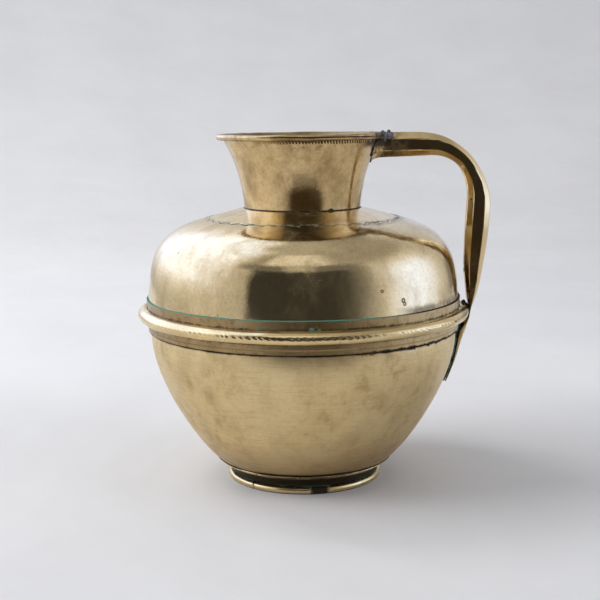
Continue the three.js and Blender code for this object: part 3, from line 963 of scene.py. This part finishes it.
def filler(name, base, light, rough=0.55, metallic=0.6, green=0, until=None):
    """Dull, lumpy filler metal, with verdigris on some of it, which may fade out between two azimuths."""
    n = Nodes(name)
    coarse, fine = n.noise(3.5, 4, 0.6), n.noise(0.7, 3, 0.6, offset=9)
    color = n.mix(n.ramp(coarse, 0.35, 0.7), base, light)
    color = n.mix(n.ramp(fine, 0.55, 0.8, 0, 0.6), color, tuple(c * 0.4 for c in base))
    if green:
        patchy = n.times(n.ramp(coarse, 0.62 - 0.3 * green, 0.7 - 0.2 * green), green)
        color = n.mix(n.times(patchy, n.ramp(n.azimuth, *until)) if until else patchy, color, TEAL)
    roughness = n.ramp(fine, 0.2, 0.8, rough - 0.12, rough + 0.2)
    normal = n.bump(n.swayed(coarse, fine, 0.4), 0.25)
    return n.principled(Base_Color=color, Metallic=metallic, Roughness=roughness, Normal=normal)


# -------- marks on each piece

def left_side(n):
    """Where verdigris grew along the band's top edge, and not soot."""
    return n.most(n.ramp(n.azimuth, 46, 24), n.ramp(n.azimuth, 120, 160))


def right_side(n):
    return n.times(n.ramp(n.azimuth, 8, 30), n.ramp(n.azimuth, 120, 80))


def flux_runs(n):
    """The noise that the black runs along the band's lower edge follow, on the bowl and on the strip."""
    return n.noise(5, 5, 0.7, offset=80)


def seam_dirt(n):
    return n.ramp(n.noise(4, 4, 0.65, offset=60), 0.5, 0.68)


def bowl_marks(n):
    # Dark line under the strip's lower edge: dirt, and painted shade in the gap there
    seam = n.ramp(n.swayed(n.z, n.blotch, 2.2), BAND_LOW - 0.9, BAND_LOW + 0.6)
    run = n.ramp(n.swayed(n.z, flux_runs(n), 7.5), BAND_LOW + 1.8, BAND_LOW + 2.8)
    foot = n.ramp(n.swayed(n.z, n.blotch, -0.8), FLANGE_HIGH - 0.1, FLANGE_HIGH - 0.6)
    return n.most(seam, n.times(run, right_side(n)), n.times(foot, 0.8)), 0


# Scars and nicks: [azimuth, height, radius of the surface there, size, softness] of each.
SHOULDER_SCARS = [
    (27.3, 162, 119.1, 1.1, 0.5), (35.8, 154.1, 120.2, 1.5, 0.6), (36.3, 151.6, 120.2, 1.1, 0.8),
    (-29.8, 145.6, 120.8, 0.5, 0.4), (-31, 199.5, 89.4, 0.6, 0.9), (-34, 198.6, 91, 0.4, 0.8),
    (-55, 184.9, 111.1, 0.5, 0.5), (69.5, 195.3, 99.9, 0.5, 0.6), (44, 203.2, 79, 0.9, 1.2),
    (47, 203.4, 77.5, 0.7, 1),
]
HANDLE_NICKS = [
    (87, 259.3, 123, 1.0, 0.8), (87, 260.8, 121, 0.7, 0.7), (87, 257.6, 124.6, 0.6, 0.6),
    (87, 218, 130.2, 0.8, 0.7),
]


def shoulder_marks(n):
    seam = n.times(n.ramp(n.radius, SEAM_RADIUS + 4.5, SEAM_RADIUS + 1), seam_dirt(n), 0.95)
    run = n.times(n.ramp(n.radius, SEAM_RADIUS + 9, SEAM_RADIUS + 1), n.band(n.azimuth, 62, 28, 12), 0.95)
    run = n.times(run, n.ramp(n.noise(1.6, 4, 0.6, offset=66), 0.49, 0.56))
    edge = n.ramp(n.swayed(n.z, n.blotch, -0.9), BAND_HIGH + 0.1, BAND_HIGH - 0.2)
    right_stain = n.times(n.ramp(n.z, BAND_HIGH + 6.5, BAND_HIGH + 2), n.band(n.azimuth, 74, 30, 14))
    right_stain = n.times(right_stain, n.ramp(n.blotch, 0.35, 0.55), 0.6)
    dark_marks = n.most(seam, run, n.times(edge, n.ramp(left_side(n), 1, 0)), right_stain)
    for azimuth, level, radius, size, soft in SHOULDER_SCARS:
        scar = n.spot(azimuth, level, radius, size, soft)
        bright_middle = n.spot(azimuth, level, radius, size / 3, soft)
        dark_marks = n.most(dark_marks, n.times(n.swayed(scar, bright_middle, -0.7), 0.85))
    return dark_marks, n.times(edge, left_side(n))


def collar_marks(n):
    edge = n.ramp(n.radius, SEAM_RADIUS - 4, SEAM_RADIUS - 0.5)
    foot = n.ramp(n.swayed(n.radius, n.blotch, -1), NECK_RADIUS + 0.4, NECK_RADIUS)
    return n.most(n.times(edge, seam_dirt(n), 0.85), foot), 0


def neck_marks(n):
    """Dirt at the neck's foot, and at the rim the hem's dark line, file cuts and smoke by the handle; a
    painted dark reflection along the front of the roll, and painted shade on the inward-facing inside.
    """
    soot = n.noise(6, 5, 0.7, offset=44)
    front = n.times(n.ramp(n.azimuth, -42, -12), n.ramp(n.azimuth, 66, 52))
    foot = n.ramp(n.swayed(n.z, n.blotch, -0.6), NECK_LOW + 0.3, NECK_LOW - 0.1)
    hem = n.times(n.band(n.z, HEM_HEIGHT, 0.15, 0.25), n.ramp(soot, 0.3, 0.5, 0.2, 0.9))
    smoke = n.times(n.ramp(n.z, 257.5, 262), n.band(n.azimuth, 86, 28, 12), n.ramp(soot, 0.36, 0.5, 0, 0.9))
    lean = n.times(n.add(n.z, -TICK_HEIGHT), TICK_LEAN / TICK_RADIUS)
    phase = n.times(n.add(n.times(n.azimuth, math.pi / 180), lean), RIM_TICKS)
    ticks = n.times(n.ramp(n.math("SINE", phase), -0.2, 0.4), front, 0.95)
    ticks = n.times(ticks, n.ramp(n.swayed(n.z, soot, 2.4), 263.6, 264.3), n.ramp(n.z, 265.5, 265.2))
    # Painted dark reflection along the front of the roll
    roll_reflection = n.times(n.band(n.z, ROLL_REFLECTION_HEIGHT, 0.4, 0.35), front, n.ramp(soot, 0.3, 0.5, 0.5, 0.95))
    # Painted shade: the inward-facing inside of the neck darkened
    inside = n.times(n.ramp(n.facing_out, 0, -0.35), 0.5)
    stains = n.times(n.ramp(n.z, 256, 264), n.ramp(soot, 0.52, 0.7, 0, 0.45))
    return n.most(foot, hem, smoke, stains, roll_reflection, inside, ticks), 0


def strip_marks(n):
    run = flux_runs(n)
    top = n.ramp(n.z, BAND_HIGH - 0.35, BAND_HIGH - 0.15)
    # Dark line at the lower edge: dirt, and painted shade in the gap below the strip
    low = n.ramp(n.swayed(n.z, n.blotch, -0.8), BAND_LOW + 0.5, BAND_LOW - 0.2)
    jag = n.times(n.ramp(n.swayed(n.z, run, -5), BAND_LOW - 0.7, BAND_LOW - 1.8), right_side(n))
    # Patchy painted shade: in the gap above the bead and under the bead
    above = n.times(n.band(n.z, BEAD_HIGH + 0.3, 0.4, 0.9), n.ramp(run, 0.42, 0.6), 0.8)
    below = n.times(n.band(n.z, BEAD_LOW - 0.1, 0.35, 0.7), n.ramp(run, 0.3, 0.55), 0.9)
    groove = n.times(n.band(n.z, BAND_LOW + 3.4, 0.2, 0.5), 0.3)
    black_top = n.times(top, n.ramp(left_side(n), 1, 0))
    specks = n.times(n.ramp(n.noise(1.7, 4, 0.65, offset=72), 0.5, 0.7), n.ramp(run, 0.4, 0.6), 0.7)
    stains = n.ramp(run, 0.48, 0.7, 0, 0.35)
    green = n.times(top, left_side(n))
    for azimuth, size in [(-15.3, 0.9), (2.6, 1.5), (5, 0.8)]:
        green = n.most(green, n.spot(azimuth, BEAD_HIGH + 0.4, BAND_RADIUS, size, 0.6))
    return n.most(low, jag, above, below, groove, black_top, specks, stains), green


def bead_marks(n):
    notches = n.ramp(n.radius, BEAD_RADIUS - 0.12, BEAD_RADIUS - 0.4)
    crest = n.times(n.band(n.z, BEAD_MID + 0.4, 0.5, 0.4), notches, 0.85)
    lower = n.times(n.ramp(n.z, BEAD_LOW + 1.1, BEAD_LOW + 0.3), n.ramp(n.blotch, 0.3, 0.55), 0.8)
    upper = n.times(n.ramp(n.z, BEAD_HIGH - 0.7, BEAD_HIGH - 0.1), n.ramp(n.blotch, 0.35, 0.6), 0.7)
    return n.most(crest, lower, upper), 0


def foot_marks(n):
    edge = n.ramp(n.swayed(n.z, n.blotch, 0.5), FLANGE_HIGH + 0.1, FLANGE_HIGH + 0.4)
    # Painted shade: the concave below the flange darkened, standing in for the shaded floor it mirrors
    low = n.times(n.ramp(n.swayed(n.z, n.blotch, 1.2), FLANGE_HIGH - 1.4, FLANGE_HIGH - 2.7), 0.98)
    green = n.times(n.ramp(n.z, FOOT_TOP + 0.9, FOOT_TOP + 0.6), n.ramp(n.blotch, 0.42, 0.6, 0, 0.6))
    return n.most(edge, low), green


def foot_bead_marks(n):
    """One ragged dark patch at the front, and painted contact shade along the underside."""
    ragged = n.add(n.azimuth, n.times(n.blotch, 6), n.times(n.fine, 5))
    # The z ramp is painted contact shade along the underside
    return n.most(n.times(n.band(ragged, 16.5, 5, 3), 0.97), n.ramp(n.z, 1.1, 0.4)), 0


def handle_marks(n):
    near_rim = n.times(n.ramp(n.radius, 84, 68), n.ramp(n.noise(6, 5, 0.7, offset=12), 0.42, 0.58, 0, 0.8))
    # Painted shade on the palm just under the rim, with a ragged edge
    shade_under_rim = n.times(n.ramp(n.radius, 73, 67), n.ramp(n.swayed(n.z, n.blotch, 3), 257, 262, 0, 0.92))
    band = n.times(n.band(n.z, BEAD_MID - 1.4, 3, 5), n.ramp(n.x, 131, 127, 0, 0.9))
    ragged = n.ramp(n.noise(5, 5, 0.7, offset=18), 0.45, 0.6, 0, 0.8)
    lower = n.times(n.band(n.z, BEAD_MID - 2.4, 4, 5), ragged)
    tongue = n.times(n.ramp(n.z, 124, 116), n.ramp(n.noise(3, 4, 0.6, offset=90), 0.5, 0.62), 0.45)
    dark_marks = n.most(near_rim, shade_under_rim, band, lower)
    for nick in HANDLE_NICKS:
        dark_marks = n.most(dark_marks, n.times(n.spot(*nick), 0.9))
    return dark_marks, tongue


# Painted shade: browner towards the bottom, standing in for the shaded floor the bowl mirrors there
def bowl_painted_shade(n):
    return [(n.ramp(n.z, 56, 14, 0, 0.7), BROWN)]


# Painted reflection: paler round the handle's side, standing in for the bright window mirrored there
def strip_painted_reflection(n):
    return [(n.times(n.band(n.azimuth, 72, 28, 22), 0.45), BRASS)]


def handle_painted_light_and_shade(n):
    """Painted light and shade by which way the surface faces: painted shade, brown, underneath, on the flat
    sides and low on the side towards the pot; painted light, a pale tint, high on that side.
    """
    inward = n.ramp(n.facing_x, -0.45, -0.6)
    return [
        (n.ramp(n.facing_up, -0.3, -0.8, 0, 0.75), BROWN),
        (n.ramp(n.facing_y, -0.85, -0.97, 0, 0.8), BROWN),
        (n.times(inward, n.ramp(n.facing_up, -0.5, -0.3), n.ramp(n.z, 185, 210)), COLLAR_TINT),
        (n.times(inward, n.ramp(n.z, 200, 170, 0, 0.8)), BROWN),
    ]


# -------- the pieces

def dress(piece, material, slot, *nodes):
    piece.data.materials.append(material)
    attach(piece, "root")
    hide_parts(*nodes)


dark_filler = filler("dark_filler_metal", (0.016, 0.014, 0.011), (0.05, 0.04, 0.026), metallic=0.2)
green_filler = filler("green_filler_metal", (0.02, 0.026, 0.02), (0.07, 0.08, 0.055), green=0.6)
lead = filler("soft_solder_metal", (0.07, 0.068, 0.066), (0.21, 0.20, 0.19), rough=0.42, metallic=0.8)
seam_filler = filler("seam_filler_metal", (0.016, 0.016, 0.012), (0.08, 0.07, 0.045), green=0.7,
                     until=(34, 20))

bowl_metal = brass("bowl_metal", 0.37, tarnish=0.8, scratch=2.2, mottled=0.6, marks=bowl_marks,
                   light_and_shade_tints=bowl_painted_shade)
dress(make_bowl(), bowl_metal, "bowl_brass", "bowl")
dress(make_foot_ring(), brass("foot_metal", 0.26, marks=foot_marks), "foot_brass", "foot_ring")
dress(make_foot_bead(), brass("foot_bead_metal", 0.22, marks=foot_bead_marks), "pale_brass", "foot_bead")
shoulder_metal = brass("shoulder_metal", 0.1, SHOULDER_TINT, scratch=0.8, mottled=1, dents=6,
                       marks=shoulder_marks)
dress(make_shoulder(), shoulder_metal, "polished_brass", "shoulder")
strip_metal = brass("strip_metal", 0.3, STRIP_TINT, tarnish=1.4, scratch=0.8, mottled=2.2, dents=4,
                    marks=strip_marks, light_and_shade_tints=strip_painted_reflection)
dress(make_strip(), strip_metal, "band_brass", "belly_strip")
dress(make_bead(), brass("bead_metal", 0.17, marks=bead_marks), "bead_brass", "belly_bead")
collar_metal = brass("collar_metal", 0.18, COLLAR_TINT, mottled=1, dents=3, marks=collar_marks)
dress(make_collar(), collar_metal, "polished_brass", "neck_collar")
dress(make_seam_filler(), seam_filler, "dark_braze", "cramp_seam_braze")
neck_metal = brass("neck_metal", 0.12, NECK_TINT, tarnish=1.1, mottled=1.9, dents=6, marks=neck_marks)
dress(make_neck(), neck_metal, "neck_brass", "neck")
dress(make_neck_filler(), dark_filler, "dark_braze", "neck_joint_braze")
dress(make_rim_wire(), brass("wire_metal", 0.25), "pale_brass", "rim_wire")
tube, palm_edge = make_handle()
handle_metal = brass("handle_metal", 0.15, tarnish=0.7, scratch=0.3, mottled=0.15, marks=handle_marks,
                     light_and_shade_tints=handle_painted_light_and_shade)
inner_metal = brass("handle_strip_metal", 0.2, tarnish=0.9, scratch=0.3, mottled=0.15, light_and_shade_tints=handle_painted_light_and_shade)
dress(tube, handle_metal, "handle_brass", "handle")
dress(make_inner_strip(), inner_metal, "handle_brass", "handle_inner_strip")
dress(make_palm_filler(palm_edge), dark_filler, "dark_braze", "palm_braze")
dress(make_tongue_filler(), green_filler, "green_braze", "tongue_braze")
dress(make_lump("rim_solder_lump", RIM_SOLDER), lead, "soft_solder", "rim_solder")
dress(make_lump("band_solder_web", BAND_SOLDER), dark_filler, "dark_braze", "band_solder")


# -------- floor, surroundings, light and camera

CENTRE = Vector((AXIS_X * MM, 0, 0))
STAGE_COLUMNS = 96


def stage_lathe(name, outline, material):
    """A turned surface of the set, given in metres."""
    angle = np.arange(STAGE_COLUMNS) * TURN / STAGE_COLUMNS
    rows = [round_axis(r, angle, np.full(STAGE_COLUMNS, z)) for r, z in outline]
    vertices, faces = skin(np.stack(rows))
    mesh = bpy.data.meshes.new(name)
    mesh.from_pydata((vertices + np.array(CENTRE)).tolist(), [], faces)
    mesh.shade_smooth()
    mesh.materials.append(material)
    made = in_scene(name, mesh)
    return made


def only_in_reflections(made):
    made.visible_camera = made.visible_diffuse = made.visible_shadow = False
    made.visible_transmission = made.visible_volume_scatter = False


def floor_material():
    n = Nodes("pale_cloth")
    cloth = n.noise(260, 4, 0.5)
    color = n.mix(n.ramp(cloth, 0.3, 0.7), (0.735, 0.735, 0.75), (0.70, 0.70, 0.715))
    normal = n.bump(n.noise(150, 3, 0.5, offset=400), 6)
    normal = n.bump(n.noise(1.4, 2, 0.5), 0.12, under=normal)
    return n.principled(Base_Color=color, Roughness=0.95, Normal=normal)


FLAT_TO, BACK_AT, DISH_RISE = 1.15, 3.9, 2.5
dish = [(0, 0), (0.2, 0), (0.5, 0), (FLAT_TO, 0)]
for turn in np.linspace(0, math.pi / 2, 25)[1:]:
    dish.append((FLAT_TO + (BACK_AT - FLAT_TO) * math.sin(turn), DISH_RISE * (1 - math.cos(turn))))
stage_lathe("pale_floor", dish, floor_material())


DOME_RADIUS, DOME_HEIGHT = 1.45, 0.17


def surroundings_material():
    """What the metal mirrors: a tall bright window to the left and behind, a lower one on the handle's
    side, pale walls all round, and the dark of the room in front."""
    n = Nodes("surroundings")
    height = n.add(n.z, -DOME_HEIGHT / MM)
    elevation = n.times(n.math("ARCTAN2", height, n.radius), 180 / math.pi)
    level = n.ramp(elevation, 66, 80, 0.40, 0.52)
    cool = 0
    # No azimuth is outside of these two, so a box that has them reaches on round the back.
    on_left, on_right = (-400, -399), (399, 400)
    # Strength, how blue, and the degrees between which each side fades: left, right, low and high.
    boxes = [
        (0.55, 0, on_left, on_right, (-20, -19), (38, 52)),
        (0.66, 0, on_left, (-165, -145), (-20, -19), (42, 56)),
        (0.66, 1, (118, 150), on_right, (-20, -19), (42, 56)),
        (1.50, 0.55, (-172, -146), (-80, -40), (-8, 14), (53, 62)),
        (1.25, 0.6, (-172, -146), (-74, -38), (53, 62), (70, 80)),
        (1.20, 0.85, (40, 86), (94, 132), (-20, -4), (20, 50)),
        (0.05, 0, (-43, -36), (24, 66), (-90, -89), (34, 40)),
        (0.20, 0, (-62, -44), (36, 60), (33, 38), (42, 50)),
        (0.92, 0.1, (-40, -30), (18, 36), (44, 49), (70, 76)),
        (0.60, 0, (-18, -13), (7, 12), (33, 40), (47, 50)),
        (0.22, 0, (127, 135), (149, 158), (-15, -9), (5, 10)),
    ]
    for strength, blue, left, right, low, high in boxes:
        mask = n.times(n.ramp(n.azimuth, *left), n.ramp(n.azimuth, *right[::-1]))
        mask = n.times(mask, n.ramp(elevation, *low), n.ramp(elevation, *high[::-1]))
        level, cool = n.between(mask, level, strength), n.between(mask, cool, blue)
    bright = n.times(cool, n.most(n.add(level, -0.6), 0))
    color = n.node("CombineColor", enumerate(n.swayed(level, bright, extra) for extra in (0, 0.54, 2.2)))
    n.material.cycles.emission_sampling = "NONE"
    return n.finished(n.node("Emission", [("Color", color)]))


def dark_front_material():
    """A dark stretch of floor towards the camera, with a paler and narrower part nearer the pot."""
    n = Nodes("dark_front")
    far = n.times(n.ramp(n.azimuth, -40, -18), n.ramp(n.azimuth, 46, 32), n.ramp(n.y, -430, -500))
    near = n.times(n.ramp(n.azimuth, -22, -15), n.ramp(n.azimuth, 32, 24), n.ramp(n.y, -330, -400, 0, 0.6))
    clear = n.node("BsdfTransparent", [])
    dark = n.node("Emission", [("Color", (0.055, 0.042, 0.028, 1))])
    n.material.cycles.emission_sampling = "NONE"
    return n.finished(n.node("MixShader", enumerate((n.most(far, near), clear, dark))))


dome_foot = -math.asin(DOME_HEIGHT / DOME_RADIUS)
dome = [
    (DOME_RADIUS * math.cos(e), DOME_HEIGHT + DOME_RADIUS * math.sin(e))
    for e in np.linspace(dome_foot, math.pi / 2, 40)
]
dome[-1] = (0, DOME_HEIGHT + DOME_RADIUS)
dark_floor = [(0.28, 0.001), (FLAT_TO, 0.001), (1.44, 0.02)]
only_in_reflections(stage_lathe("surroundings_dome", dome, surroundings_material()))
only_in_reflections(stage_lathe("dark_front_floor", dark_floor, dark_front_material()))


def area_light(name, place, target, size, watts):
    data = bpy.data.lights.new(name, "AREA")
    data.shape = "SQUARE"
    data.size = size
    data.energy = watts
    made = in_scene(name, data)
    made.location = place
    made.rotation_euler = (Vector(target) - Vector(place)).to_track_quat("-Z", "Y").to_euler()
    made.visible_glossy = False


area_light("left_window", (-1.7, -0.3, 1.25), (0, 0, 0.1), 1.3, 27)
area_light("right_reflector", (1.5, -0.6, 1.0), (0, 0, 0.1), 1.0, 5)
area_light("wall_wash", (-1.2, 0.7, 1.9), (0.6, 2.8, 0.8), 1.2, 28)

world = bpy.data.worlds.new("soft_room")
bpy.context.scene.world = world
world.use_nodes = True
background = world.node_tree.nodes["Background"]
background.inputs["Color"].default_value = (0.98, 0.99, 1.02, 1)
background.inputs["Strength"].default_value = 0.51
world.cycles_visibility.glossy = False

CAMERA_AWAY, CAMERA_HEIGHT, CAMERA_ASIDE = 0.9202, 0.2871, -0.0016
CAMERA_PAN, CAMERA_DOWN, CAMERA_ROLL = 0.06, 9.12, -0.46  # degrees
FOCAL_LENGTH = 71.05
lens = bpy.data.cameras.new("photograph")
lens.sensor_fit = "HORIZONTAL"
lens.sensor_width = 36
lens.lens = FOCAL_LENGTH
camera = in_scene("camera", lens)
camera.location = CENTRE + Vector((CAMERA_ASIDE, -CAMERA_AWAY, CAMERA_HEIGHT))
pan, tilt, roll = (math.radians(a) for a in (CAMERA_PAN, 90 - CAMERA_DOWN, CAMERA_ROLL))
turned = Matrix.Rotation(pan, 4, "Z") @ Matrix.Rotation(tilt, 4, "X") @ Matrix.Rotation(roll, 4, "Z")
camera.rotation_euler = turned.to_euler()
bpy.context.scene.camera = camera
bpy.context.scene.view_settings.view_transform = "Standard"
